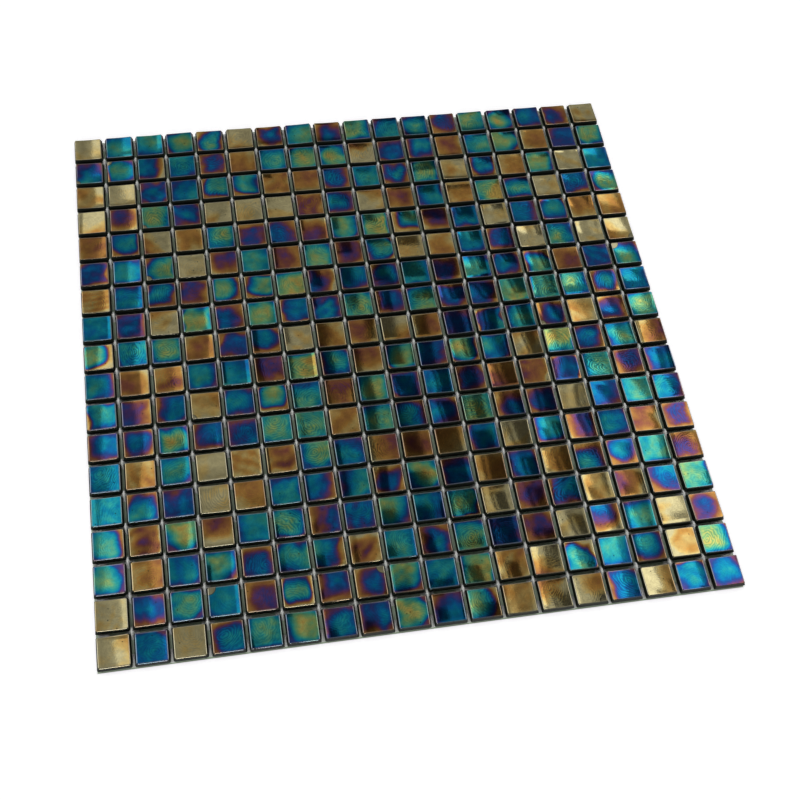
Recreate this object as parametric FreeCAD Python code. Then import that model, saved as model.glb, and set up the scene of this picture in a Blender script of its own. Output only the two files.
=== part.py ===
"""Mosaic tile sheet: small pressed glass tiles in a square grid, held to one another by dots of glue.

The sheet lies face up on the feet of its glue dots. X runs along a row of tiles, Y from the front row
to the back row, Z up. The origin is under the middle of the sheet, at the level of the dots' feet.
Units are millimetres.
"""
import FreeCAD, Part
import math
import os

# Driving dimensions of the tile
TILE_SIDE = 15.0           # side of one tile across its foot, its widest section
TILE_THICKNESS = 4.0       # back to polished face
SIDE_LEAN = 0.4            # how far each side leans in from the foot to the face, to leave the mould
ARRIS_WIDTH = 0.3          # how far the eased edge cuts in across the face and down the side

# Driving dimensions of the sheet
JOINT_WIDTH = 1.5          # open joint between two tiles, left for the grout
TILES_PER_SIDE = 18        # the grid is as many rows as tiles in a row

# Driving dimensions of a glue dot
DOT_LAP = 2.4              # how far a dot reaches under the corner of each tile it holds
DOT_THICKNESS = 0.6        # set drop between the tile backs and the floor
DOT_FACETS = 6             # sides that stand for the drop's round edge

# Sizes that follow
PITCH = TILE_SIDE + JOINT_WIDTH
SHEET_SIDE = TILES_PER_SIDE * PITCH - JOINT_WIDTH
JOINTS_PER_SIDE = TILES_PER_SIDE - 1
CROSSING_REACH = JOINT_WIDTH / math.sqrt(2.0)    # centre of a crossing to a tile corner
DOT_RADIUS = CROSSING_REACH + DOT_LAP
EDGE_DOT_PLACE = SHEET_SIDE / 2.0 - DOT_RADIUS   # an edge dot ends flush with the tiles


def grid_place(index, count):
    """Centre of one place out of count, a pitch apart and even about the middle of the sheet."""
    return (index - (count - 1) / 2.0) * PITCH


def tile():
    """One tile with its back at the level of the dots' tops, leaning sides and four eased face edges."""
    foot = TILE_SIDE / 2.0
    face = foot - SIDE_LEAN
    block = Part.makeWedge(-foot, 0.0, -foot, -face, -face, foot, TILE_THICKNESS, foot, face, face)
    block.rotate(FreeCAD.Vector(0.0, 0.0, 0.0), FreeCAD.Vector(1.0, 0.0, 0.0), 90.0)
    block.translate(FreeCAD.Vector(0.0, 0.0, DOT_THICKNESS))
    face_level = block.BoundBox.ZMax
    face_edges = [edge for edge in block.Edges if edge.BoundBox.ZMin >= face_level - ARRIS_WIDTH / 2.0]
    return block.makeChamfer(ARRIS_WIDTH, face_edges)


def glue_dot():
    """One set drop of glue, standing on the floor under a joint."""
    rim = []
    for facet in range(DOT_FACETS + 1):
        turn = 2.0 * math.pi * facet / DOT_FACETS
        rim.append(FreeCAD.Vector(DOT_RADIUS * math.cos(turn), DOT_RADIUS * math.sin(turn), 0.0))
    foot = Part.Face(Part.makePolygon(rim))
    return foot.extrude(FreeCAD.Vector(0.0, 0.0, DOT_THICKNESS))


def copies(piece, places):
    """The piece repeated at each place as separate solids."""
    return Part.makeCompound([piece.translated(FreeCAD.Vector(x, y, 0.0)) for x, y in places])


def export(shape, node):
    """Writes one sub-part."""
    shape.exportStep("parts/" + node + ".step")


def export_tile_rows():
    """One sub-part for each row of tiles, the front row first."""
    one_tile = tile()
    for row in range(TILES_PER_SIDE):
        y = grid_place(row, TILES_PER_SIDE)
        places = [(grid_place(column, TILES_PER_SIDE), y) for column in range(TILES_PER_SIDE)]
        export(copies(one_tile, places), "tile_row_%02d" % (row + 1))


def export_glue_dots():
    """One sub-part for each line of dots: under the front ends of the joints that run from front to
    back, under each joint between two rows, and under the back ends."""
    one_dot = glue_dot()
    joints = [grid_place(joint, JOINTS_PER_SIDE) for joint in range(JOINTS_PER_SIDE)]
    export(copies(one_dot, [(x, -EDGE_DOT_PLACE) for x in joints]), "glue_dots_front")
    for line, y in enumerate(joints):
        line_places = [-EDGE_DOT_PLACE] + joints + [EDGE_DOT_PLACE]
        export(copies(one_dot, [(x, y) for x in line_places]), "glue_dots_%02d" % (line + 1))
    export(copies(one_dot, [(x, EDGE_DOT_PLACE) for x in joints]), "glue_dots_back")


os.makedirs("parts", exist_ok=True)
export_tile_rows()
export_glue_dots()
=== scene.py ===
"""Looks of the mosaic tile sheet: lustre-coated glass tiles in a square grid on drops of glue.

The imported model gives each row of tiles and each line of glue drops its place. The tiles are built here
again with rounded arrises, dished faces and the colours of their metal film, and the drops with the glue
that wells up between the tiles. Lengths are in metres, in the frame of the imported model.
"""
import math
from collections import namedtuple

import bpy
import numpy as np
from bpy.props import FloatProperty, FloatVectorProperty, IntProperty, PointerProperty
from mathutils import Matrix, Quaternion, Vector


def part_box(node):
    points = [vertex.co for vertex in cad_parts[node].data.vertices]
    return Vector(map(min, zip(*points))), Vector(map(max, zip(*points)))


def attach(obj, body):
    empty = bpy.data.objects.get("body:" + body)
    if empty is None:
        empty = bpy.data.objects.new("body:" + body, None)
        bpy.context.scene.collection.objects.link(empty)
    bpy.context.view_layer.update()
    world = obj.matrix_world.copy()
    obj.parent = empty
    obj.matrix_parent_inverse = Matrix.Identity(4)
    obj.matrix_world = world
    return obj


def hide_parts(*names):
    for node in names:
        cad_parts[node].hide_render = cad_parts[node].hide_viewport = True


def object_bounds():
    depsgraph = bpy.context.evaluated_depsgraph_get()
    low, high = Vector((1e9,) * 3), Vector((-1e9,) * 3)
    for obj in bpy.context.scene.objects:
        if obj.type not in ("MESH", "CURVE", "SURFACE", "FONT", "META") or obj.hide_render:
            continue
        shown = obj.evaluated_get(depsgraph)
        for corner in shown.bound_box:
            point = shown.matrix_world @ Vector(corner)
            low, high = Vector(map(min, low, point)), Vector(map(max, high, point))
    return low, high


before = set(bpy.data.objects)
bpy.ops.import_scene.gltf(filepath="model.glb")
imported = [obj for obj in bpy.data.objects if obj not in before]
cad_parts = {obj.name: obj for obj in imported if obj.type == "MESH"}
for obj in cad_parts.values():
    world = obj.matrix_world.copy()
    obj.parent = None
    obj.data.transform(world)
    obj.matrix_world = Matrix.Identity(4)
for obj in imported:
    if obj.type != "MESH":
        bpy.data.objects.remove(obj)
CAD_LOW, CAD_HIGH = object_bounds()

bl_info = {
    "name": "Lustre Mosaic Sheet",
    "version": (1, 0, 0),
    "blender": (4, 5, 0),
    "location": "3D View > Sidebar > Mosaic",
    "description": "Glass mosaic tiles with an iridescent film, laid in a sheet on glue drops",
    "category": "Object",
}

MM = 0.001
FULL_TURN = 2.0 * math.pi
ROW_NODES = sorted(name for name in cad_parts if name.startswith("tile_row_"))
DROP_NODES = sorted(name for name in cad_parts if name.startswith("glue_dots_"))
TILE_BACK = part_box(ROW_NODES[0])[0].z
TILE_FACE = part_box(ROW_NODES[0])[1].z

# How finely a tile is meshed
CORNER_CELLS = 2           # cells across each rounded corner of the face
MIDDLE_CELLS = 16          # cells between the corners
ARRIS_STEPS = 4            # strips round the eased edge of the face
FILM_STEPS = 2             # of those, the strips that the film still covers
SIDE_RINGS = 5             # rings that tile_profile sets down a tile's side, under the arris

# The fine ridge that the mould leaves at the seam: how far it stands out, and half its height
RIDGE_REACH = 0.05 * MM
RIDGE_HALF_HEIGHT = 0.1 * MM

# A row's tiles are laid out flat in its map as lines of tiles, with a line over them for the backs
MAP_COLUMNS = 5
MAP_CELL = 1.0 / MAP_COLUMNS
MAP_SPARE = 0.6 * MM       # left free between two tiles of the map

# How tiles differ in shape
SIZE_LOSS = (0.1, 0.5)     # share of the size spread that is missing on each side
CORNER_SHARE = (0.8, 1.3)  # corner radius of a tile, as a share of the full one
DISH_SPREAD = 0.45         # usual share by which a face is dished more or less than the others
TWIST_SPREAD = 0.15        # usual twist of a face, as a share of its dish
FACE_DROP = (0.0, 0.08)    # how far a face lies under the full thickness, in millimetres

# How the film runs over a face, where half the face is 1. Waves bend it, then it goes from the heart to
# the rim partly with the distance from the heart and partly with the distance from each side.
BEND_WAVES = 2
BEND_TURNS = (0.2, 0.6)    # waves in half a face
BEND_REACH = (0.0, 0.16)   # how far they move the colours
HEART_PLACE = (-0.5, 0.5)  # of the heart, off the middle
HEART_SHAPE = (2.0, 4.0)   # power of the distance: 2 is a round heart, 4 is nearly square
HEART_ROOM = 0.5           # how much wider the heart is where it lies off the middle
HEART_FALL = (1.1, 3.6)    # power of the fall from the heart: high ones fall only near the rim
HEART_MOST = 1.2           # most that the distance counts, where the rim is 1
HEART_SHARE = (0.0, 0.8)   # how much the heart counts, against the sides
SIDE_REACH = (0.12, 1.1)   # how far into the face a side's colour comes
SIDE_FALL = 1.5            # power of that fall
SIDE_MOST = 1.3            # most that it counts, where the rim is 1
SIDE_STRENGTH = (-0.1, 1.1)  # how much each side counts
RIM_MOST = 1.15            # how far the film may go past its value at the rim, where that is 1
FILM_LEAN = 0.06           # usual difference between the middle and one edge, on the film's scale
RIPPLES = 4
RIPPLE_TURNS = 0.5         # usual number of waves in half a face
RIPPLE_HEIGHT = (0.004, 0.02)
RIPPLE_STRENGTH = (0.5, 2.0)

# How the swirls lie in a tile
SWIRL_STRONG = (0.4, 1.0)
SWIRL_FAINT = (0.05, 0.35)
SWIRL_PLACE = (-0.6, 0.6)  # of the rings' middle, where half the tile is 1
SWIRL_STRETCH = (0.5, 1.0)  # the smaller, the more the rings are drawn out
SWIRL_DEPTH = 0.1          # of the pattern that the tiles are cut from
SWIRL_MIDDLE = 1.25        # strength at the middle before it is cut to 1
SWIRL_FADE = 0.75          # strength lost at half a face from the middle
SWIRL_CORNER = 0.15        # strength left at the corners

# Share of the tiles that the film left bare at one corner, and how far it is bare, in millimetres
BARE_CHANCE = 0.02
BARE_REACH = (1.5, 3.5)

# From here outwards a point is on the rounded rim, where half the face is 1
RIM_START = 1.0 - 1e-4

# Glue drops: sides of the mesh, lobes of the outline, and how the drops differ in size and in rise
DROP_SIDES = 16
DROP_LOBES = (2, 3, 5)
LOBE_REACH = 0.05
LOBE_TURN = 6.3            # radians over which a lobe may start, about a full turn
DROP_SPREAD = (0.8, 0.94)
RISE_SPREAD = (0.75, 1.0)
JOINT_RISE = 0.3           # rise of the glue where only one joint ends, as a share of that at a crossing
DROP_GAP = 0.02 * MM       # between the drop under a tile and the tile's back

# Glue in the mouth of the joints: a star at a crossing, drawn out along Y, and an oval in a single joint
STAR_REACH = 1.25 * MM
STAR_POINTS = 0.4
STAR_STRETCH = 0.4
OVAL_LONG = 2.0 * MM
OVAL_SHORT = 0.6 * MM

# Side of a drop: share of the outline and share of the height under the tiles, then its neck, as the
# smaller of a share of the outline and of the mouth, then share of the mouth and share of the rise
DROP_SIDE = ((0.8, 0.0), (0.97, 0.15), (1.0, 0.5), (0.93, 0.9))
NECK_OF_OUTLINE = 0.8
NECK_OF_MOUTH = 1.6
GLUE_SIDE = ((1.0, 0.3), (0.75, 0.8), (0.5, 1.0))

# The film from thinnest to thickest: name of its colour, place along the scale, and the colour
FILM_SCALE = (
    ("greige", 0.00, "#aca278"),
    ("champagne", 0.05, "#b39c60"),
    ("bronze", 0.13, "#a3783a"),
    ("copper", 0.21, "#8d5f35"),
    ("oxblood", 0.27, "#764437"),
    ("plum", 0.31, "#663a4e"),
    ("purple", 0.345, "#553764"),
    ("indigo", 0.38, "#3b3872"),
    ("deep_blue", 0.425, "#1c407b"),
    ("peacock_blue", 0.49, "#085c91"),
    ("teal", 0.58, "#0b7990"),
    ("sea_green", 0.68, "#2b8f88"),
    ("leaf_green", 0.77, "#579a76"),
    ("lime", 0.85, "#7c9d62"),
    ("ochre", 0.93, "#a29f58"),
    ("amber", 1.00, "#ac9149"),
)

# Kinds of tile in the mix: share, film at the rim, film at the middle, chance of a swirled surface
TileKind = namedtuple("TileKind", "label share rim middle swirls")
TILE_MIX = (
    TileKind("greige", 0.08, (0.00, 0.03), (0.00, 0.03), 0.1),
    TileKind("champagne", 0.05, (0.00, 0.10), (0.02, 0.14), 0.1),
    TileKind("bronze", 0.12, (0.04, 0.15), (0.11, 0.28), 0.4),
    TileKind("bronze with a blue heart", 0.18, (0.11, 0.20), (0.34, 0.54), 0.4),
    TileKind("blue with a plum rim", 0.17, (0.22, 0.36), (0.46, 0.64), 0.4),
    TileKind("peacock blue", 0.11, (0.38, 0.53), (0.54, 0.70), 0.4),
    TileKind("teal with a green heart", 0.19, (0.40, 0.54), (0.72, 0.93), 0.6),
    TileKind("every colour from rim to heart", 0.10, (0.12, 0.28), (0.58, 0.90), 0.5),
)

# What the film's material reads at each point of a tile
FILM_MARKS = ("film", "swirl", "bare", "rim", "grain")

# Sizes of the patterns in film, glass and glue
FLOW_RINGS = 1.1 * MM      # from one flow ring of the pressed glass to the next
FILM_CLOUDS = 4.0 * MM     # across a cloud in the fired film
FILM_PATCHES = 3.0 * MM    # across a patch of denser film
ORANGE_PEEL = 0.7 * MM     # from dimple to dimple
PIT_CELLS = 5.0 * MM       # across the cells that may each hold one pit
PIT_RIM = 0.375 * MM       # from a pit's middle to where it starts
PIT_FLOOR = 0.175 * MM     # from a pit's middle to where it is full
FILM_END = 0.1 * MM        # to each side of the film's end, over which it thins out
END_LINE = 0.25 * MM       # to each side of it, reach of the dark line there
END_CORE = 0.05 * MM       # and of that line's full strength
CHILL_WAVES = 1.5 * MM     # length of the waves on the pressed sides
CHILL_SHADE = 0.5          # painted shade: how bright the glass is drawn in their hollows, against their crests
GLUE_BLOTCHES = 1.2 * MM   # across a cloudy blotch
GLUE_SHADE = 0.8           # how bright the glue is between them
WAVE_UNIT = 0.314          # length of a wave in a wave texture whose scale is 1

# How strongly the patterns show in the film
SWIRL_IN_FILM = 0.08       # what a full swirl adds on the film's scale
SWIRL_IN_DENSITY = 0.35
CLOUDS_IN_THIN_FILM = 0.08
CLOUDS_IN_THICK_FILM = 0.28
PIT_CHOICE = 0.75          # grey level of a cell's own colour over which it holds a pit
# Share of the painted highlight mixed into the film's colour on the rounded rim
PAINTED_RIM_HIGHLIGHT = 0.32
PEEL_IN_RELIEF = 0.8

# The range that most of a noise lies in
NOISE_RANGE = {"From Min": 0.3, "From Max": 0.7}

# Socket numbers of a Mix node set to colours
MIX_FACTOR = 0
MIX_A = 6
MIX_B = 7
MIX_RESULT = 2

# Soft studio lamp, low in front: place, point it faces, side and brightness of its face, where white is 1.
# It shines along the joints that run from front to back, so that their floors and the glue in them are lit
# while the joints between rows stay dark.
KEY_PLACE = (-0.30, -2.00, 1.05)
KEY_AIM = (0.0, 0.0, 0.0)
KEY_SIDE = 0.8
KEY_BRIGHTNESS = 5.0

# The dome above the sheet, its clouds as shares of its brightness, and what hangs in it: slopes off the
# vertical across and along, brightness, and how soft its edge is
DOME = 0.55
DOME_CLOUDS = (0.65, 1.45)
DOME_CLOUD_SCALE = 9.0     # clouds about 6 degrees across
LEAST_HEIGHT = 0.05        # of a direction off the horizon, so that its slope stays finite
PANELS = (
    ("dark side behind the camera", (-1.20, 1.20), (-1.40, 0.10), 0.04, 0.10),
    ("skylight overhead", (-0.29, 0.29), (-0.32, 0.12), 0.32, 0.08),
    ("low light beside the camera", (-0.54, -0.24), (-1.40, -0.34), 0.9, 0.06),
    ("dim room behind the sheet", (-1.60, 1.60), (1.00, 1.80), 0.16, 0.15),
    ("gap between the lights", (0.14, 0.32), (0.33, 0.72), 0.05, 0.03),
    ("dim panel beside the gap", (0.30, 0.36), (0.15, 0.72), 1.0, 0.02),
    ("softbox at the right", (0.35, 0.80), (0.15, 0.44), 2.6, 0.02),
    ("softbox behind it", (0.41, 0.90), (0.42, 0.70), 2.6, 0.02),
    ("light at the left", (-2.50, -0.115), (0.19, 0.95), 1.7, 0.03),
    ("slit in the gap", (0.258, 0.280), (0.36, 0.67), 0.7, 0.008),
)

# Share of white light that reaches the open floor: what lacks to white is added as light of the floor's
# own, which starts at the sheet's outline and is full at this distance from it
FLOOR_LIGHT = 0.45
FLOOR_EDGE = 0.2 * MM
FLOOR_REACH = 6.0          # half a side of the floor

SENSOR_WIDTH = 36.0        # of the camera, in millimetres
NEAREST_SEEN = 0.01        # from the camera


def linear(hex_code):
    """Turns an sRGB hex colour to the linear values that the shaders take."""
    channels = [int(hex_code[i:i + 2], 16) / 255.0 for i in (1, 3, 5)]
    return tuple(c / 12.92 if c <= 0.04045 else ((c + 0.055) / 1.055) ** 2.4 for c in channels)


def colour(name, description, hex_code):
    """A colour property whose default is an sRGB hex colour."""
    return FloatVectorProperty(name=name, description=description, subtype="COLOR", size=3,
                               min=0.0, max=1.0, default=linear(hex_code))


def length(name, description, default):
    """A length property in metres."""
    return FloatProperty(name=name, description=description, default=default, min=0.0,
                         unit="LENGTH", subtype="DISTANCE", precision=5)


def angle(name, description, degrees):
    """An angle property, given in degrees."""
    return FloatProperty(name=name, description=description, default=math.radians(degrees),
                         unit="ROTATION", subtype="ANGLE")


def place(name, description, default):
    """A property that holds a place in the scene, in metres."""
    return FloatVectorProperty(name=name, description=description, default=default,
                               subtype="TRANSLATION", unit="LENGTH")


class MosaicTileSettings(bpy.types.PropertyGroup):
    side: length("Side", "Side of a tile across its widest section", 15.35 * MM)
    joint: length("Joint", "Open joint between two tiles", 1.15 * MM)
    lean: length("Lean", "How far a side leans in from the seam to the face", 0.55 * MM)
    seam_height: length("Seam height", "Height of the widest section above the back", 1.7 * MM)
    back_bevel: length("Back bevel", "How far the side cuts in under the seam", 0.5 * MM)
    corner_radius: length("Corner radius", "Rounding of a tile's upright corners", 0.75 * MM)
    arris: length("Arris", "Reach of the rounded edge round the face", 0.45 * MM)
    size_spread: length("Size spread", "Most that a tile is under the full side", 0.2 * MM)
    wander: length("Wander", "Most that a tile lies off its place", 0.12 * MM)
    turn: angle("Turn", "Most that a tile is turned in its place", 0.7)
    tilt: angle("Tilt", "Most that a face is tilted by its glue", 1.2)
    dish: angle("Dish", "Slope of a dished face at its edges", 2.2)
    edge_roll: angle("Edge roll", "Usual turn up or down of the face along an edge", 2.0)
    roll_reach: FloatProperty(name="Roll reach", description="Share of half a face that an edge roll takes",
                              default=0.28, min=0.05, max=0.9, subtype="FACTOR")
    seed: IntProperty(name="Seed", description="Start of the random mix of tiles", default=18)


class MosaicFilmSettings(bpy.types.PropertyGroup):
    # Painted highlight: the pale colour that the rounded rim is mixed towards
    painted_rim_highlight: colour("Rim gleam", "What the rounded rim adds to the film's colour", "#ddd9cb")
    bare_glass: colour("Bare glass", "A corner that the film missed", "#8b8468")
    body_glass: colour("Body glass", "Sides and back of a tile", "#0a1607")


# The film's settings have one more colour for each step of its scale
for film_name, film_step, film_code in FILM_SCALE:
    MosaicFilmSettings.__annotations__[film_name] = colour(
        film_name.replace("_", " ").capitalize(), "Film at %.3f of its scale" % film_step, film_code)


class MosaicDropSettings(bpy.types.PropertyGroup):
    radius: length("Radius", "Reach of a drop under the tiles", 3.4 * MM)
    well_up: length("Well-up", "Most that the glue rises between the tiles, off the floor", 4.3 * MM)
    glue: colour("Glue", "Clear glue gone milky", "#f8f9f4")


class MosaicStageSettings(bpy.types.PropertyGroup):
    camera_place: place("Camera place", "Where the camera stands", (-0.08236, -0.29062, 0.49990))
    camera_aim: place("Camera aim", "Point that the camera looks at", (-0.00688, -0.02787, 0.0046))
    camera_roll: angle("Camera roll", "How far the camera's right side is raised", 8.07)
    lens: FloatProperty(name="Lens", description="Focal length on a 36 mm sensor", default=51.64,
                        unit="CAMERA")
    shift_x: FloatProperty(name="Shift across", description="Share of the frame's width", default=0.0288)
    shift_y: FloatProperty(name="Shift up", description="Share of the frame's width", default=-0.0094)
    # The paper's green cast is painted light: it stands in for the green light that the glass sides throw
    # into the joints
    paper: colour("Paper", "Pale paper that the sheet lies on", "#d0e2c8")


def add_object(name, data):
    """Adds an object with the data that it shows to the scene."""
    made = bpy.data.objects.new(name, data)
    bpy.context.scene.collection.objects.link(made)
    return made


def face_grid(half, radius):
    """Points over a square with rounded corners, as a grid of rows and columns. The cells in a corner are
    drawn from a square onto a quarter of a disc."""
    flat = half - radius
    line = np.concatenate([
        np.linspace(-half, -flat, CORNER_CELLS, endpoint=False),
        np.linspace(-flat, flat, MIDDLE_CELLS, endpoint=False),
        np.linspace(flat, half, CORNER_CELLS + 1),
    ])
    x, y = np.meshgrid(line, line, indexing="ij")
    corner_x = np.clip(np.abs(x) - flat, 0.0, None) / radius
    corner_y = np.clip(np.abs(y) - flat, 0.0, None) / radius
    disc_x = corner_x * np.sqrt(1.0 - corner_y * corner_y / 2.0)
    disc_y = corner_y * np.sqrt(1.0 - corner_x * corner_x / 2.0)
    return np.stack([
        np.sign(x) * (np.minimum(np.abs(x), flat) + radius * disc_x),
        np.sign(y) * (np.minimum(np.abs(y), flat) + radius * disc_y),
    ], axis=-1)


def border(grid):
    """The outer points of a grid, in order round it."""
    return np.concatenate([grid[:-1, 0], grid[-1, :-1], grid[:0:-1, -1], grid[0, :0:-1]])


def tile_faces():
    """Faces of one tile as lists of its vertex numbers: the face, its rim, the sides, the back."""
    lines = 2 * CORNER_CELLS + MIDDLE_CELLS + 1
    number = np.arange(lines * lines).reshape(lines, lines)
    face = np.stack([number[:-1, :-1], number[1:, :-1], number[1:, 1:], number[:-1, 1:]], axis=-1)
    rings = [border(number)]
    around = len(rings[0])
    for step in range(ARRIS_STEPS + SIDE_RINGS):
        rings.append(lines * lines + step * around + np.arange(around))
    strips = []
    for upper, lower in zip(rings[:-1], rings[1:]):
        strips.append(np.stack([upper, lower, np.roll(lower, -1), np.roll(upper, -1)], axis=-1))
    rim = np.concatenate(strips[:FILM_STEPS])
    sides = np.concatenate(strips[FILM_STEPS:])
    return face.reshape(-1, 4), rim, sides, rings[-1][::-1]


# One ring round a tile: reach of its outline, corner radius, share of the rim's own height that it keeps,
# depth under the face, and distance run down the side
Ring = namedtuple("Ring", "reach corner keep depth run")


def tile_profile(tiles, half, radius):
    """Rings from the face's rim over the arris, the side and the mould's seam to the back."""
    face = half - tiles.lean
    profile = []
    run = 0.0
    for step in range(1, ARRIS_STEPS + 1):
        turned = math.pi / 2.0 * step / ARRIS_STEPS
        inset = tiles.arris * (1.0 - math.sin(turned))
        depth = tiles.arris * (1.0 - math.cos(turned))
        run += tiles.arris * math.pi / 2.0 / ARRIS_STEPS
        profile.append(Ring(face - inset, radius - inset, 1.0, depth, run))
    foot = TILE_FACE - TILE_BACK
    seam = foot - tiles.seam_height
    for reach, depth in (
        (half - RIDGE_REACH, seam - RIDGE_HALF_HEIGHT),
        (half, seam),
        (half - RIDGE_REACH, seam + RIDGE_HALF_HEIGHT),
        (half - tiles.back_bevel, foot - RIDGE_REACH),
        (half - tiles.back_bevel - RIDGE_REACH, foot),
    ):
        run += math.hypot(reach - profile[-1].reach, depth - profile[-1].depth)
        profile.append(Ring(reach, radius, 0.0, depth, run))
    return profile


def face_height(tiles, u, v, half, dice):
    """Height over a face: dished, a little twisted, tilted, and turned up or down along each edge."""
    rise = tiles.dish * half / 2.0
    bend_x, bend_y = dice.normal(1.0, DISH_SPREAD, 2) * rise
    twist = dice.normal(0.0, TWIST_SPREAD) * rise
    tip_x, tip_y = dice.uniform(-1.0, 1.0, 2) * tiles.tilt * half
    height = bend_x * u ** 2 + bend_y * v ** 2 + twist * u * v + tip_x * u + tip_y * v
    for side in (u, -u, v, -v):
        roll = dice.normal() * tiles.edge_roll * half * tiles.roll_reach / 2.0
        height = height + roll * np.clip((side - 1.0) / tiles.roll_reach + 1.0, 0.0, None) ** 2
    return height - height.max() - dice.uniform(*FACE_DROP) * MM


def bend_face(u, v, dice):
    """Places on a face moved by a few long waves, so that no colour runs quite straight or square."""
    for wave in range(BEND_WAVES):
        turns = dice.uniform(*BEND_TURNS, 2)
        start = dice.uniform(0.0, FULL_TURN, 2)
        bend = dice.uniform(*BEND_REACH)
        u, v = (u + bend * np.sin(FULL_TURN * turns[0] * v + start[0]),
                v + bend * np.sin(FULL_TURN * turns[1] * u + start[1]))
    return u, v


def fall_from_heart(u, v, dice):
    """How far the film has gone from its heart to its rim, by the distance from the heart."""
    off_u, off_v = dice.uniform(*HEART_PLACE, 2)
    power = dice.uniform(*HEART_SHAPE)
    distance = (np.abs(u - off_u) ** power + np.abs(v - off_v) ** power) ** (1.0 / power)
    room = 1.0 + HEART_ROOM * max(abs(off_u), abs(off_v))
    return np.clip(distance / room, 0.0, HEART_MOST) ** dice.uniform(*HEART_FALL)


def fall_from_sides(u, v, dice):
    """How far the film has gone to its rim, by the distance from each side."""
    total = 0.0
    for side in (u, -u, v, -v):
        reach = dice.uniform(*SIDE_REACH)
        fall = np.clip((side - 1.0) / reach + 1.0, 0.0, SIDE_MOST) ** SIDE_FALL
        total = total + dice.uniform(*SIDE_STRENGTH) * fall
    return total


def film_over(u, v, rim, middle, dice):
    """Thickness of the film over a face, on the scale from 0 to 1."""
    u, v = bend_face(u, v, dice)
    heart = fall_from_heart(u, v, dice)
    sides = fall_from_sides(u, v, dice)
    share = dice.uniform(*HEART_SHARE)
    film = middle + (rim - middle) * np.clip(share * heart + (1.0 - share) * sides, 0.0, RIM_MOST)
    heading = dice.uniform(0.0, FULL_TURN)
    lean = abs(dice.normal(0.0, FILM_LEAN))
    film = film + lean * (u * math.cos(heading) + v * math.sin(heading))
    strength = dice.uniform(*RIPPLE_STRENGTH)
    for ripple in range(RIPPLES):
        turns = dice.normal(0.0, RIPPLE_TURNS, 2)
        height = strength * dice.uniform(*RIPPLE_HEIGHT)
        film = film + height * np.sin(FULL_TURN * (turns[0] * u + turns[1] * v + dice.uniform()))
    return film


def pick_kind(dice):
    """A kind of tile, picked by its share of the mix."""
    shares = np.array([kind.share for kind in TILE_MIX])
    return TILE_MIX[dice.choice(len(TILE_MIX), p=shares / shares.sum())]


def set_down(tiles, plan, spot, dice):
    """Points of a tile's plan once it lies in its place, turned a little and inside the sheet's outline."""
    turned = dice.uniform(-1.0, 1.0) * tiles.turn
    off = dice.uniform(-1.0, 1.0, 2) * tiles.wander
    x = plan[:, 0] * math.cos(turned) - plan[:, 1] * math.sin(turned) + spot[0] + off[0]
    y = plan[:, 0] * math.sin(turned) + plan[:, 1] * math.cos(turned) + spot[1] + off[1]
    return np.clip(x, CAD_LOW.x, CAD_HIGH.x), np.clip(y, CAD_LOW.y, CAD_HIGH.y)


def past_bare_corner(tiles, plan, flat_half, dice):
    """Distance from where the film ends. Now and then that is an arc about a corner of the face, and
    otherwise it is out of reach."""
    if dice.uniform() >= BARE_CHANCE:
        return np.full(len(plan), tiles.side)
    corner_x, corner_y = dice.choice([-1.0, 1.0], 2) * flat_half
    return np.hypot(plan[:, 0] - corner_x, plan[:, 1] - corner_y) - dice.uniform(*BARE_REACH) * MM


def swirl_grain(plan, half, dice):
    """Places in the pattern of swirls: rings about a point of the face, drawn out along one heading."""
    heading = dice.uniform(0.0, math.pi)
    centre = dice.uniform(*SWIRL_PLACE, 2) * half
    around_x, around_y = plan[:, 0] - centre[0], plan[:, 1] - centre[1]
    along = around_x * math.cos(heading) + around_y * math.sin(heading)
    across = around_y * math.cos(heading) - around_x * math.sin(heading)
    drawn_out = dice.uniform(*SWIRL_STRETCH) * along
    return np.stack([drawn_out, across, np.full(len(plan), SWIRL_DEPTH * dice.uniform())], axis=-1)


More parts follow.
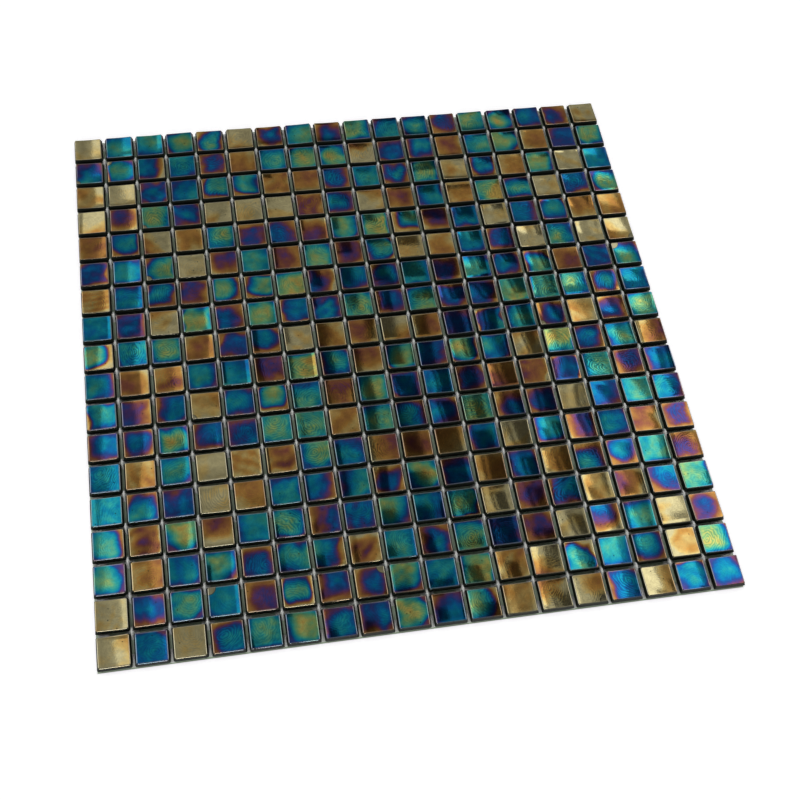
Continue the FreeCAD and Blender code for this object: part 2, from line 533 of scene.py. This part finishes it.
def build_tile(tiles, spot, column, count, dice):
    """One tile of a row: its points, what its film is like at each of them, and its place in the map."""
    half = tiles.side / 2.0 - dice.uniform(*SIZE_LOSS) * tiles.size_spread
    radius = tiles.corner_radius * dice.uniform(*CORNER_SHARE)
    flat_half = half - tiles.lean - tiles.arris
    flat_corner = radius - tiles.arris
    flat = face_grid(flat_half, flat_corner)
    profile = tile_profile(tiles, half, radius)
    outlines = [border(face_grid(ring.reach, ring.corner)) for ring in profile]
    plan = np.concatenate([flat.reshape(-1, 2)] + outlines)
    u, v = plan[:, 0] / flat_half, plan[:, 1] / flat_half
    on_face = flat.shape[0] * flat.shape[1]
    height = face_height(tiles, u[:on_face], v[:on_face], half, dice)
    rim_height = border(height.reshape(flat.shape[:2]))
    levels = [height] + [ring.keep * rim_height - ring.depth for ring in profile]
    z = np.maximum(np.concatenate(levels) + TILE_FACE, TILE_BACK)
    x, y = set_down(tiles, plan, spot, dice)

    kind = pick_kind(dice)
    rim = dice.uniform(*kind.rim)
    middle = dice.uniform(*kind.middle)
    film = film_over(u, v, rim, middle, dice)
    swirled = dice.uniform() < kind.swirls
    strength = dice.uniform(*(SWIRL_STRONG if swirled else SWIRL_FAINT))
    bare = past_bare_corner(tiles, plan, flat_half, dice)
    grain = swirl_grain(plan, half, dice)

    # Unwrapped with the sides laid out flat round the face, and the last ring once more as the back
    spread = 2.0 * (flat_half + profile[-1].run) + MAP_SPARE
    unrolled = [border(face_grid(flat_half + ring.run, flat_corner + ring.run)) for ring in profile]
    laid = np.concatenate([flat.reshape(-1, 2)] + unrolled)
    cell = np.array([column % MAP_COLUMNS + 0.5, column // MAP_COLUMNS + 0.5]) * MAP_CELL
    back_cell = np.array([(column + 0.5) / count, 1.0 - MAP_CELL / 2.0])
    back = outlines[-1][::-1]
    return {
        "points": np.stack([x, y, z], axis=-1),
        "film": film,
        "swirl": strength * np.clip(SWIRL_MIDDLE - (u ** 2 + v ** 2) * SWIRL_FADE, SWIRL_CORNER, 1.0),
        "bare": bare,
        "rim": (np.maximum(np.abs(u), np.abs(v)) > RIM_START).astype(float),
        "grain": grain,
        "map": laid / spread * MAP_CELL + cell,
        "back_map": back / spread / count + back_cell,
    }


def build_row(name, node, tiles, dice, materials):
    """Makes one row of tiles as a piece that stands for the row's node."""
    low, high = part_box(node)
    pitch = tiles.side + tiles.joint
    count = round((high.x - low.x) / pitch)
    middle = (low + high) / 2.0
    parts = []
    for column in range(count):
        spot = (middle.x + (column - (count - 1) / 2.0) * pitch, middle.y)
        parts.append(build_tile(tiles, spot, column, count, dice))
    row = {label: np.concatenate([part[label] for part in parts]) for label in parts[0]}
    first = len(parts[0]["points"]) * np.arange(count)
    face, rim, sides, back = tile_faces()
    one_tile = np.concatenate([face, rim, sides])
    quads = np.concatenate([one_tile + start for start in first])
    backs = [(back + start).tolist() for start in first]
    mesh = bpy.data.meshes.new(name)
    mesh.from_pydata(row["points"].tolist(), [], quads.tolist() + backs)
    for material in materials:
        mesh.materials.append(material)
    pressed_side = np.tile(np.arange(len(one_tile)) >= len(face) + len(rim), count)
    slots = np.concatenate([pressed_side.astype(np.int32), np.ones(count, np.int32)])
    mesh.polygons.foreach_set("material_index", slots)
    mesh.polygons.foreach_set("use_smooth", np.ones(len(slots), bool))
    for label in FILM_MARKS:
        kind, key = ("FLOAT_VECTOR", "vector") if row[label].ndim == 2 else ("FLOAT", "value")
        attribute = mesh.attributes.new(label, kind, "POINT")
        attribute.data.foreach_set(key, row[label].astype(np.float32).ravel())
    corners = np.empty(len(mesh.loops), np.int32)
    mesh.loops.foreach_get("vertex_index", corners)
    spots = row["map"][corners]
    spots[quads.size:] = row["back_map"]
    layer = mesh.uv_layers.new(name="OFBake")
    layer.data.foreach_set("uv", spots.astype(np.float32).ravel())
    mesh.validate()
    piece = add_object(name, mesh)
    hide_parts(node)
    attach(piece, "root")
    return piece


def add_node(tree, kind, sockets=None, **settings):
    """Adds a node to a tree with its settings. Each socket named gets its value, or a link from another
    socket or from the first output of another node."""
    node = tree.nodes.new(kind)
    for name, value in settings.items():
        setattr(node, name, value)
    for name, value in (sockets or {}).items():
        if isinstance(value, bpy.types.Node):
            value = value.outputs[0]
        if isinstance(value, bpy.types.NodeSocket):
            tree.links.new(value, node.inputs[name])
        else:
            node.inputs[name].default_value = value
    return node


def new_material(name):
    """An empty node material and its tree."""
    material = bpy.data.materials.new(name)
    material.use_nodes = True
    material.node_tree.nodes.clear()
    return material, material.node_tree


def opaque(channels):
    """A colour as a socket takes it, with nothing let through."""
    return (*channels, 1.0)


def film_colours(tree, film, thickness):
    """The colours of the film, read at a thickness on its scale."""
    ramp = add_node(tree, "ShaderNodeValToRGB", {"Fac": thickness})
    stops = ramp.color_ramp.elements
    for label, step, code in FILM_SCALE[1:-1]:
        stops.new(step)
    for stop, (label, step, code) in zip(stops, FILM_SCALE):
        stop.position = step
        stop.color = opaque(getattr(film, label))
    return ramp


def film_thickness(tree, spot, film, weighed):
    """The film's thickness with the glass's swirls in it and clouds, stronger where it is thick."""
    swirled = add_node(tree, "ShaderNodeMath",
                       {0: weighed, 1: SWIRL_IN_FILM, 2: film}, operation="MULTIPLY_ADD")
    cloud = add_node(tree, "ShaderNodeTexNoise",
                     {"Vector": spot, "Scale": 1.0 / FILM_CLOUDS, "Detail": 3.0})
    clouded = add_node(tree, "ShaderNodeMapRange",
                       {"Value": cloud.outputs["Fac"], "To Min": -0.5, "To Max": 0.5})
    unsteady = add_node(tree, "ShaderNodeMath",
                        {0: film, 1: CLOUDS_IN_THICK_FILM, 2: CLOUDS_IN_THIN_FILM},
                        operation="MULTIPLY_ADD")
    shifted = add_node(tree, "ShaderNodeMath",
                       {0: clouded, 1: unsteady, 2: swirled}, operation="MULTIPLY_ADD")
    return shifted


def film_density(tree, spot, weighed):
    """How dense the film is, where 1 is usual: in some patches more than in others, and in the swirls."""
    patches = add_node(tree, "ShaderNodeTexNoise",
                       {"Vector": spot, "Scale": 1.0 / FILM_PATCHES, "Detail": 4.0, "Roughness": 0.65,
                        "Distortion": 0.6})
    density = add_node(tree, "ShaderNodeMapRange",
                       {"Value": patches.outputs["Fac"], **NOISE_RANGE, "To Min": 0.86, "To Max": 1.14})
    marked = add_node(tree, "ShaderNodeMath",
                      {0: weighed, 1: SWIRL_IN_DENSITY, 2: density}, operation="MULTIPLY_ADD")
    return marked


def bubble_pits(tree, spot):
    """How dark the face is by small pits, where bubbles in the glass broke it open in a few places."""
    bubbles = add_node(tree, "ShaderNodeTexVoronoi",
                       {"Vector": spot, "Scale": 1.0 / PIT_CELLS}, voronoi_dimensions="2D")
    broken = add_node(tree, "ShaderNodeMath",
                      {0: bubbles.outputs["Color"], 1: PIT_CHOICE}, operation="GREATER_THAN")
    pit = add_node(tree, "ShaderNodeMapRange",
                   {"Value": bubbles.outputs["Distance"], "From Min": PIT_RIM / PIT_CELLS,
                    "From Max": PIT_FLOOR / PIT_CELLS, "To Max": 0.85}, interpolation_type="SMOOTHSTEP")
    pitted = add_node(tree, "ShaderNodeMath", {0: broken, 1: pit}, operation="MULTIPLY")
    return pitted


def film_end(tree, bare):
    """Where a corner is bare, and the dark line that the film ends in."""
    off_film = add_node(tree, "ShaderNodeMapRange",
                        {"Value": bare, "From Min": FILM_END, "From Max": -FILM_END},
                        interpolation_type="SMOOTHSTEP")
    distance = add_node(tree, "ShaderNodeMath", {0: bare}, operation="ABSOLUTE")
    line = add_node(tree, "ShaderNodeMapRange",
                    {"Value": distance, "From Min": END_LINE, "From Max": END_CORE, "To Max": 0.7},
                    interpolation_type="SMOOTHSTEP")
    return off_film, line


def lustre_film(film):
    """Metal oxide film fired on pressed glass: colours by its thickness, and a sharp gloss over the
    glass's flow rings and a faint orange peel."""
    material, tree = new_material("Tin-oxide lustre, fired on pressed glass")
    marks = {}
    for label in FILM_MARKS:
        marks[label] = add_node(tree, "ShaderNodeAttribute", attribute_name=label)
    spot = add_node(tree, "ShaderNodeTexCoord").outputs["Object"]

    # Flow marks of the pressed glass: crooked rings, faint or strong by the tile's own swirl
    flow = add_node(tree, "ShaderNodeTexWave",
                    {"Vector": marks["grain"].outputs["Vector"], "Scale": WAVE_UNIT / FLOW_RINGS,
                     "Distortion": 17.0, "Detail": 2.5, "Detail Scale": 0.6, "Detail Roughness": 0.6},
                    wave_type="RINGS", rings_direction="Z")
    centred = add_node(tree, "ShaderNodeMath", {0: flow.outputs["Fac"], 1: 0.5}, operation="SUBTRACT")
    weighed = add_node(tree, "ShaderNodeMath",
                       {0: centred, 1: marks["swirl"].outputs["Fac"]}, operation="MULTIPLY")

    thickness = film_thickness(tree, spot, marks["film"].outputs["Fac"], weighed)
    dense = add_node(tree, "ShaderNodeHueSaturation",
                     {"Color": film_colours(tree, film, thickness),
                      "Value": film_density(tree, spot, weighed)})
    off_film, line = film_end(tree, marks["bare"].outputs["Fac"])
    darkened = add_node(tree, "ShaderNodeMath",
                        {0: line, 1: bubble_pits(tree, spot)}, operation="MAXIMUM")
    coloured = add_node(tree, "ShaderNodeMix",
                        {MIX_FACTOR: off_film, MIX_A: dense, MIX_B: opaque(film.bare_glass)},
                        data_type="RGBA")
    edged = add_node(tree, "ShaderNodeMix",
                     {MIX_FACTOR: darkened, MIX_A: coloured.outputs[MIX_RESULT],
                      MIX_B: opaque(film.body_glass)}, data_type="RGBA")
    # The rounded rim mirrors the light, and it is also painted paler towards a light colour: a painted
    # highlight that gives each face a pale line round it
    rim_highlight_share = add_node(tree, "ShaderNodeMath",
                     {0: marks["rim"].outputs["Fac"], 1: PAINTED_RIM_HIGHLIGHT}, operation="MULTIPLY")
    rimmed = add_node(tree, "ShaderNodeMix",
                      {MIX_FACTOR: rim_highlight_share, MIX_A: edged.outputs[MIX_RESULT],
                       MIX_B: opaque(film.painted_rim_highlight)}, data_type="RGBA")

    # Orange peel of the fired film, in its gloss and with the flow marks in its relief
    peel = add_node(tree, "ShaderNodeTexNoise",
                    {"Vector": spot, "Scale": 1.0 / ORANGE_PEEL, "Detail": 1.0, "Roughness": 0.5})
    gloss = add_node(tree, "ShaderNodeMapRange",
                     {"Value": peel.outputs["Fac"], **NOISE_RANGE, "To Min": 0.03, "To Max": 0.10})
    waves = add_node(tree, "ShaderNodeMath",
                     {0: peel.outputs["Fac"], 1: PEEL_IN_RELIEF, 2: weighed}, operation="MULTIPLY_ADD")
    relief = add_node(tree, "ShaderNodeBump", {"Height": waves, "Strength": 1.0, "Distance": 0.006 * MM})
    shader = add_node(tree, "ShaderNodeBsdfPrincipled",
                      {"Base Color": rimmed.outputs[MIX_RESULT], "Roughness": gloss, "Normal": relief,
                       "Metallic": 0.92, "IOR": 1.5})
    add_node(tree, "ShaderNodeOutputMaterial", {"Surface": shader})
    return material


def pressed_glass(film):
    """Dark bottle glass, pressed in a mould: near black, with a green cast and the chill waves that the
    mould leaves on its skin, their hollows drawn darker as painted shade."""
    material, tree = new_material("Soda-lime bottle glass, pressed")
    spot = add_node(tree, "ShaderNodeTexCoord").outputs["Object"]
    chill = add_node(tree, "ShaderNodeTexNoise",
                     {"Vector": spot, "Scale": 1.0 / CHILL_WAVES, "Detail": 3.0})
    # Painted shade: the hollows of the chill waves are drawn darker than their crests
    hollow_shade = [CHILL_SHADE * channel for channel in film.body_glass]
    tint = add_node(tree, "ShaderNodeMix",
                    {MIX_FACTOR: chill.outputs["Fac"], MIX_A: opaque(hollow_shade),
                     MIX_B: opaque(film.body_glass)}, data_type="RGBA")
    relief = add_node(tree, "ShaderNodeBump",
                      {"Height": chill.outputs["Fac"], "Strength": 0.5, "Distance": 0.1 * MM})
    shader = add_node(tree, "ShaderNodeBsdfPrincipled",
                      {"Base Color": tint.outputs[MIX_RESULT], "Normal": relief, "IOR": 1.52,
                       "Roughness": 0.65, "Specular IOR Level": 0.3})
    add_node(tree, "ShaderNodeOutputMaterial", {"Surface": shader})
    return material


def milky_glue(drops):
    """Clear construction glue that has set milky: pale and cloudy, with a skin that catches the light."""
    material, tree = new_material("Polyurethane glue, set milky")
    spot = add_node(tree, "ShaderNodeTexCoord").outputs["Object"]
    cloud = add_node(tree, "ShaderNodeTexNoise",
                     {"Vector": spot, "Scale": 1.0 / GLUE_BLOTCHES, "Detail": 2.0})
    shaded = [GLUE_SHADE * channel for channel in drops.glue]
    tint = add_node(tree, "ShaderNodeMix",
                    {MIX_FACTOR: cloud.outputs["Fac"], MIX_A: opaque(shaded), MIX_B: opaque(drops.glue)},
                    data_type="RGBA")
    gloss = add_node(tree, "ShaderNodeMapRange",
                     {"Value": cloud.outputs["Fac"], "To Min": 0.2, "To Max": 0.4})
    relief = add_node(tree, "ShaderNodeBump",
                      {"Height": cloud.outputs["Fac"], "Strength": 0.6, "Distance": 0.15 * MM})
    shader = add_node(tree, "ShaderNodeBsdfPrincipled",
                      {"Base Color": tint.outputs[MIX_RESULT], "Roughness": gloss, "Normal": relief,
                       "IOR": 1.48})
    add_node(tree, "ShaderNodeOutputMaterial", {"Surface": shader})
    return material


class MOSAIC_OT_lay_tiles(bpy.types.Operator):
    """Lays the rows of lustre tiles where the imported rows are"""
    bl_idname = "mosaic.lay_tiles"
    bl_label = "Lay Lustre Tiles"

    def execute(self, context):
        scene = context.scene
        if not ROW_NODES:
            raise RuntimeError("the packed model has no rows of tiles")
        materials = [lustre_film(scene.mosaic_film), pressed_glass(scene.mosaic_film)]
        dice = np.random.default_rng(scene.mosaic_tiles.seed)
        for node in ROW_NODES:
            name = node.replace("tile_row", "lustre_tiles")
            build_row(name, node, scene.mosaic_tiles, dice, materials)
        return {"FINISHED"}


def drop_places(tiles, drops):
    """Centre of each glue drop, and whether joints cross over it or which way the one joint runs."""
    places = []
    pitch = tiles.side + tiles.joint
    joints = round((CAD_HIGH.x - CAD_LOW.x) / pitch) - 1
    crossings = [(joint - (joints - 1) / 2.0) * pitch for joint in range(joints)]
    for node in DROP_NODES:
        low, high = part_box(node)
        y = (low.y + high.y) / 2.0
        inside = abs(y) < CAD_HIGH.y - tiles.side / 2.0
        for x in crossings:
            places.append((x, y, "crossing" if inside else "along"))
        if inside:
            for x in (low.x + drops.radius, high.x - drops.radius):
                places.append((x, y, "across"))
    return places


def glue_mouth(kind, turned):
    """Reach of the glue that wells up in the joints, all round its middle."""
    if kind == "crossing":
        star = 1.0 + STAR_POINTS * np.cos(4.0 * turned)
        return STAR_REACH * star * (1.0 - STAR_STRETCH * np.cos(2.0 * turned))
    bearing = turned if kind == "across" else turned - math.pi / 2.0
    return 1.0 / np.sqrt((np.cos(bearing) / OVAL_LONG) ** 2 + (np.sin(bearing) / OVAL_SHORT) ** 2)


def drop_points(x, y, kind, drops, dice):
    """Rings of one glue drop from the middle of its foot over its rim to the top of the glue."""
    turned = np.arange(DROP_SIDES) * FULL_TURN / DROP_SIDES
    lobes = 1.0
    for number in DROP_LOBES:
        height = dice.uniform(0.0, LOBE_REACH)
        lobes = lobes + height * np.cos(number * turned + dice.uniform(0.0, LOBE_TURN))
    outline = np.minimum(drops.radius * dice.uniform(*DROP_SPREAD) * lobes, drops.radius)
    mouth = glue_mouth(kind, turned)
    rise = dice.uniform(*RISE_SPREAD) * (drops.well_up - TILE_BACK)
    if kind != "crossing":
        rise = JOINT_RISE * rise
    under = TILE_BACK - DROP_GAP
    rings = [(share * outline, level * TILE_BACK) for share, level in DROP_SIDE]
    rings.append((np.minimum(NECK_OF_OUTLINE * outline, NECK_OF_MOUTH * mouth), under))
    rings.extend((share * mouth, under + level * rise) for share, level in GLUE_SIDE)
    points = []
    for reach, level in rings:
        ring = [x + reach * np.cos(turned), y + reach * np.sin(turned), np.full(DROP_SIDES, level)]
        points.append(np.stack(ring, axis=-1))
    return np.concatenate(points)


def build_drops(name, tiles, drops, dice):
    """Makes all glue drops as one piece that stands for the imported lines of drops."""
    ring = np.arange(DROP_SIDES)
    points = []
    faces = []
    for x, y, kind in drop_places(tiles, drops):
        drop = drop_points(x, y, kind, drops, dice)
        foot = len(points) * len(drop)
        top = foot + len(drop) - DROP_SIDES
        points.append(drop)
        faces.append((foot + ring[::-1]).tolist())
        for start in range(foot, top, DROP_SIDES):
            lower = start + ring
            upper = lower + DROP_SIDES
            around = np.stack([lower, np.roll(lower, -1), np.roll(upper, -1), upper], axis=-1)
            faces.extend(around.tolist())
        faces.append((top + ring).tolist())
    mesh = bpy.data.meshes.new(name)
    mesh.from_pydata(np.concatenate(points).tolist(), [], faces)
    mesh.polygons.foreach_set("use_smooth", np.ones(len(mesh.polygons), bool))
    mesh.materials.append(milky_glue(drops))
    mesh.validate()
    piece = add_object(name, mesh)
    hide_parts(*DROP_NODES)
    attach(piece, "root")
    return piece


class MOSAIC_OT_set_glue(bpy.types.Operator):
    """Sets the drops of glue under the corners of the tiles"""
    bl_idname = "mosaic.set_glue"
    bl_label = "Set Glue Drops"

    def execute(self, context):
        scene = context.scene
        if not DROP_NODES:
            raise RuntimeError("the packed model has no glue drops")
        dice = np.random.default_rng(scene.mosaic_tiles.seed + 1)
        build_drops("glue_drops", scene.mosaic_tiles, scene.mosaic_drops, dice)
        return {"FINISHED"}


def panel_mask(tree, slopes, bounds, soft):
    """How far a direction meets a panel of the dome: 1 inside its soft edge, 0 outside its bounds."""
    mask = None
    for slope, (start, end) in zip(slopes, bounds):
        for near, far in ((start, start + soft), (end, end - soft)):
            edge = add_node(tree, "ShaderNodeMapRange",
                            {"Value": slope, "From Min": near, "From Max": far},
                            interpolation_type="SMOOTHSTEP")
            if mask is None:
                mask = edge
            else:
                mask = add_node(tree, "ShaderNodeMath", {0: mask, 1: edge}, operation="MULTIPLY")
    return mask


def light_world(scene):
    """A dome with lights and dark parts in it, which the faces of the tiles mirror. The camera sees white
    in its place."""
    world = bpy.data.worlds.new("Studio dome")
    scene.world = world
    world.use_nodes = True
    tree = world.node_tree
    tree.nodes.clear()
    heading = add_node(tree, "ShaderNodeTexCoord").outputs["Generated"]
    parts = add_node(tree, "ShaderNodeSeparateXYZ", {0: heading})
    height = add_node(tree, "ShaderNodeMath",
                      {0: parts.outputs["Z"], 1: LEAST_HEIGHT}, operation="MAXIMUM")
    slopes = []
    for axis in ("X", "Y"):
        slopes.append(add_node(tree, "ShaderNodeMath",
                               {0: parts.outputs[axis], 1: height}, operation="DIVIDE"))
    # The room gives the dome soft clouds of light
    clouds = add_node(tree, "ShaderNodeTexNoise",
                      {"Vector": heading, "Scale": DOME_CLOUD_SCALE, "Detail": 2.0})
    dim, bright = DOME_CLOUDS
    level = add_node(tree, "ShaderNodeMapRange",
                     {"Value": clouds.outputs["Fac"], **NOISE_RANGE, "To Min": dim * DOME,
                      "To Max": bright * DOME})
    for label, across, along, brightness, soft in PANELS:
        mask = panel_mask(tree, slopes, (across, along), soft)
        level = add_node(tree, "ShaderNodeMapRange",
                         {"Value": mask, "To Min": level, "To Max": brightness}, label=label)
    light = add_node(tree, "ShaderNodeBackground", {"Strength": level})
    white = add_node(tree, "ShaderNodeBackground", {"Color": opaque((1.0, 1.0, 1.0)), "Strength": 1.0})
    ray = add_node(tree, "ShaderNodeLightPath")
    seen = add_node(tree, "ShaderNodeMixShader", {0: ray.outputs["Is Camera Ray"], 1: light, 2: white})
    add_node(tree, "ShaderNodeOutputWorld", {"Surface": seen})


def pale_paper(stage):
    """Pale paper, matt, which keeps the sheet's shadow between the tiles; its green cast is painted light,
    standing in for the green light that the glass sides throw into the joints. Past the sheet's outline it
    has light of its own, which brings it to white where it is seen."""
    material, tree = new_material("Seamless paper, pale")
    ray = add_node(tree, "ShaderNodeLightPath")
    seen = ray.outputs["Is Camera Ray"]
    for kind in ("Is Glossy Ray", "Is Transmission Ray"):
        seen = add_node(tree, "ShaderNodeMath", {0: seen, 1: ray.outputs[kind]}, operation="MAXIMUM")
    spot = add_node(tree, "ShaderNodeTexCoord").outputs["Object"]
    distance = add_node(tree, "ShaderNodeVectorMath", {0: spot}, operation="ABSOLUTE")
    parts = add_node(tree, "ShaderNodeSeparateXYZ", {0: distance})
    reach = add_node(tree, "ShaderNodeMath",
                     {0: parts.outputs["X"], 1: parts.outputs["Y"]}, operation="MAXIMUM")
    past = add_node(tree, "ShaderNodeMapRange",
                    {"Value": reach, "From Min": CAD_HIGH.x, "From Max": CAD_HIGH.x + FLOOR_EDGE})
    shown = add_node(tree, "ShaderNodeMath", {0: past, 1: seen}, operation="MULTIPLY")
    lacking = [1.0 - FLOOR_LIGHT * channel for channel in stage.paper]
    shader = add_node(tree, "ShaderNodeBsdfPrincipled",
                      {"Base Color": opaque(stage.paper), "Roughness": 1.0, "Specular IOR Level": 0.0,
                       "Emission Color": opaque(lacking), "Emission Strength": shown})
    add_node(tree, "ShaderNodeOutputMaterial", {"Surface": shader})
    return material


def lay_floor(stage):
    """A level square of paper under the sheet."""
    signs = ((-1, -1), (1, -1), (1, 1), (-1, 1))
    corners = [(x * FLOOR_REACH, y * FLOOR_REACH, 0.0) for x, y in signs]
    mesh = bpy.data.meshes.new("floor")
    mesh.from_pydata(corners, [], [(0, 1, 2, 3)])
    mesh.materials.append(pale_paper(stage))
    floor = add_object("floor", mesh)


def stand_at(holder, spot, aim, roll=0.0):
    """Stands a lamp or a camera at a spot and turns it to a point that it faces."""
    holder.location = spot
    holder.rotation_mode = "QUATERNION"
    facing = (Vector(aim) - Vector(spot)).to_track_quat("-Z", "Y")
    holder.rotation_quaternion = facing @ Quaternion((0.0, 0.0, 1.0), roll)


def hang_key():
    """The soft lamp low in front of the sheet."""
    lamp = bpy.data.lights.new("key", "AREA")
    lamp.size = KEY_SIDE
    lamp.energy = KEY_BRIGHTNESS * math.pi * KEY_SIDE ** 2
    holder = add_object("key", lamp)
    stand_at(holder, KEY_PLACE, KEY_AIM)
    holder.visible_camera = False


def place_camera(scene, stage):
    """The camera where the photograph was taken from."""
    lens = bpy.data.cameras.new("camera")
    lens.sensor_width = SENSOR_WIDTH
    lens.lens = stage.lens
    lens.shift_x = stage.shift_x
    lens.shift_y = stage.shift_y
    lens.clip_start = NEAREST_SEEN
    camera = add_object("camera", lens)
    stand_at(camera, stage.camera_place, stage.camera_aim, stage.camera_roll)
    scene.camera = camera


class MOSAIC_OT_set_stage(bpy.types.Operator):
    """Puts the sheet on a pale floor, under soft light, in front of the camera"""
    bl_idname = "mosaic.set_stage"
    bl_label = "Set Stage"

    def execute(self, context):
        scene = context.scene
        lay_floor(scene.mosaic_stage)
        light_world(scene)
        hang_key()
        place_camera(scene, scene.mosaic_stage)
        scene.view_settings.view_transform = "Standard"
        return {"FINISHED"}


class MOSAIC_PT_sheet(bpy.types.Panel):
    """Sizes, colours and steps of the mosaic sheet"""
    bl_idname = "MOSAIC_PT_sheet"
    bl_label = "Mosaic Sheet"
    bl_space_type = "VIEW_3D"
    bl_region_type = "UI"
    bl_category = "Mosaic"

    def draw(self, context):
        layout = self.layout
        for group in SETTINGS:
            box = layout.box()
            settings = getattr(context.scene, group)
            for name in settings.__annotations__:
                box.prop(settings, name)
        for operator in OPERATORS:
            layout.operator(operator.bl_idname)


SETTINGS = {
    "mosaic_tiles": MosaicTileSettings,
    "mosaic_film": MosaicFilmSettings,
    "mosaic_drops": MosaicDropSettings,
    "mosaic_stage": MosaicStageSettings,
}
OPERATORS = (MOSAIC_OT_lay_tiles, MOSAIC_OT_set_glue, MOSAIC_OT_set_stage)
CLASSES = (*SETTINGS.values(), *OPERATORS, MOSAIC_PT_sheet)


def register():
    """Adds the settings, the operators and the panel."""
    for made in CLASSES:
        bpy.utils.register_class(made)
    for name, group in SETTINGS.items():
        setattr(bpy.types.Scene, name, PointerProperty(type=group))


def unregister():
    """Takes the settings, the operators and the panel away again."""
    for name in SETTINGS:
        delattr(bpy.types.Scene, name)
    for made in reversed(CLASSES):
        bpy.utils.unregister_class(made)


def main():
    """Builds the sheet and its stage."""
    register()
    bpy.ops.mosaic.lay_tiles()
    bpy.ops.mosaic.set_glue()
    bpy.ops.mosaic.set_stage()


if __name__ == "__main__":
    main()
